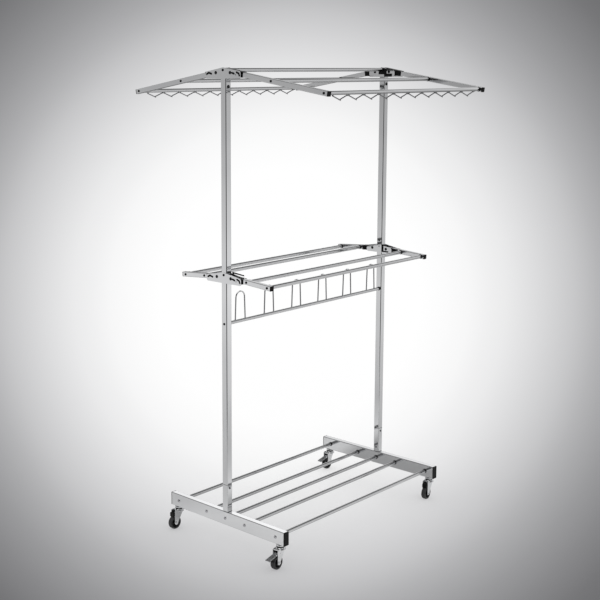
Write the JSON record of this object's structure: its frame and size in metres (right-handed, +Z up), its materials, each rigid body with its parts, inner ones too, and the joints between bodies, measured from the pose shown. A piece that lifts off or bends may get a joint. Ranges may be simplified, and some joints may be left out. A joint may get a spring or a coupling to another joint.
{
  "type": "rolling garment stand",
  "caption": "Rolling folding stand of square and round tube for drying and hanging clothes, with hanger notches, wire hoops, rod shelves and swivel casters.",
  "frame": {"origin": "on the floor under the middle of the frame, where the casters' lowest points lie", "axes": "+X along the rods from the left upright to the right one, -Y towards the front shelf, +Z up"},
  "size_m": [1.0075, 0.9174, 1.734],
  "materials": {
    "chrome": "polished",
    "black_plastic": "matt",
    "screw_steel": "bright zinc",
    "pin_steel": "dark",
    "caster_steel": "polished",
    "wheel_rubber": "matt"
  },
  "bodies": {
    "base": {"foot_left": "chrome", "foot_right": "chrome", "tube_caps": "black_plastic", "foot_screws": "screw_steel", "base_rods": "chrome", "rod_plugs": "black_plastic", "stubs": "chrome", "joint_connectors": "black_plastic", "upright_left": "chrome", "upright_right": "chrome", "upright_screws": "screw_steel", "outer_plates": "chrome", "inner_plates": "chrome", "latches": "black_plastic", "plate_screws": "pin_steel", "pivot_pins": "pin_steel", "centre_rod": "chrome", "hoop_bar": "chrome", "bar_plugs": "black_plastic", "hoops_left": "chrome", "hoops_right": "chrome", "caster_heads": "caster_steel", "dust_rings": "black_plastic"},
    "top_front": {"top_front_arms": "chrome", "top_front_rods": "chrome", "top_front_plugs": "black_plastic", "top_front_sleeves": "black_plastic", "top_front_screws": "screw_steel", "top_front_zigzag_left": "chrome", "top_front_zigzag_right": "chrome"},
    "top_back": {"top_back_arms": "chrome", "top_back_rods": "chrome", "top_back_plugs": "black_plastic", "top_back_sleeves": "black_plastic", "top_back_screws": "screw_steel", "top_back_zigzag_left": "chrome", "top_back_zigzag_right": "chrome"},
    "mid_front": {"mid_front_arms": "chrome", "mid_front_rods": "chrome", "mid_front_plugs": "black_plastic", "mid_front_sleeves": "black_plastic", "mid_front_screws": "screw_steel"},
    "mid_back": {"mid_back_arms": "chrome", "mid_back_rods": "chrome", "mid_back_plugs": "black_plastic", "mid_back_sleeves": "black_plastic", "mid_back_screws": "screw_steel"},
    "fork_front_left": {"fork_front_left": "caster_steel"},
    "wheel_front_left": {"wheel_front_left": "wheel_rubber"},
    "pedal_front_left": {"pedal_front_left": "black_plastic"},
    "fork_back_left": {"fork_back_left": "caster_steel", "hood_back_left": "black_plastic"},
    "wheel_back_left": {"wheel_back_left": "wheel_rubber"},
    "fork_front_right": {"fork_front_right": "caster_steel", "hood_front_right": "black_plastic"},
    "wheel_front_right": {"wheel_front_right": "wheel_rubber"},
    "fork_back_right": {"fork_back_right": "caster_steel"},
    "wheel_back_right": {"wheel_back_right": "wheel_rubber"},
    "pedal_back_right": {"pedal_back_right": "black_plastic"}
  },
  "joints": [
    {"name": "top_front_fold", "type": "hinge", "parent": "base", "child": "top_front", "pos_m": [0, -0.034, 1.716], "axis": [1, 0, 0], "range_deg": [0, 80]},
    {"name": "top_back_fold", "type": "hinge", "parent": "base", "child": "top_back", "pos_m": [0, 0.034, 1.716], "axis": [-1, 0, 0], "range_deg": [0, 80]},
    {"name": "mid_front_fold", "type": "hinge", "parent": "base", "child": "mid_front", "pos_m": [0, -0.034, 1.001], "axis": [1, 0, 0], "range_deg": [0, 85]},
    {"name": "mid_back_fold", "type": "hinge", "parent": "base", "child": "mid_back", "pos_m": [0, 0.034, 1.001], "axis": [-1, 0, 0], "range_deg": [0, 85]},
    {"name": "front_left_swivel", "type": "hinge", "parent": "base", "child": "fork_front_left", "pos_m": [-0.457, -0.257, 0.066], "axis": [0, 0, 1], "continuous": true},
    {"name": "front_left_roll", "type": "hinge", "parent": "fork_front_left", "child": "wheel_front_left", "pos_m": [-0.47895, -0.25853, 0.025], "axis": [0.0698, -0.9976, 0], "continuous": true},
    {"name": "front_left_brake", "type": "hinge", "parent": "fork_front_left", "child": "pedal_front_left", "pos_m": [-0.47097, -0.25798, 0.057], "axis": [0.0698, -0.9976, 0], "range_deg": [0, 3]},
    {"name": "back_left_swivel", "type": "hinge", "parent": "base", "child": "fork_back_left", "pos_m": [-0.457, 0.257, 0.066], "axis": [0, 0, 1], "continuous": true},
    {"name": "back_left_roll", "type": "hinge", "parent": "fork_back_left", "child": "wheel_back_left", "pos_m": [-0.47895, 0.25853, 0.025], "axis": [-0.0698, -0.9976, 0], "continuous": true},
    {"name": "front_right_swivel", "type": "hinge", "parent": "base", "child": "fork_front_right", "pos_m": [0.457, -0.257, 0.066], "axis": [0, 0, 1], "continuous": true},
    {"name": "front_right_roll", "type": "hinge", "parent": "fork_front_right", "child": "wheel_front_right", "pos_m": [0.43512, -0.2593, 0.025], "axis": [0.1045, -0.9945, 0], "continuous": true},
    {"name": "back_right_swivel", "type": "hinge", "parent": "base", "child": "fork_back_right", "pos_m": [0.457, 0.257, 0.066], "axis": [0, 0, 1], "continuous": true},
    {"name": "back_right_roll", "type": "hinge", "parent": "fork_back_right", "child": "wheel_back_right", "pos_m": [0.43501, 0.25623, 0.025], "axis": [0.0349, -0.9994, 0], "continuous": true},
    {"name": "back_right_brake", "type": "hinge", "parent": "fork_back_right", "child": "pedal_back_right", "pos_m": [0.44301, 0.25651, 0.057], "axis": [0.0349, -0.9994, 0], "range_deg": [0, 3]}
  ]
}
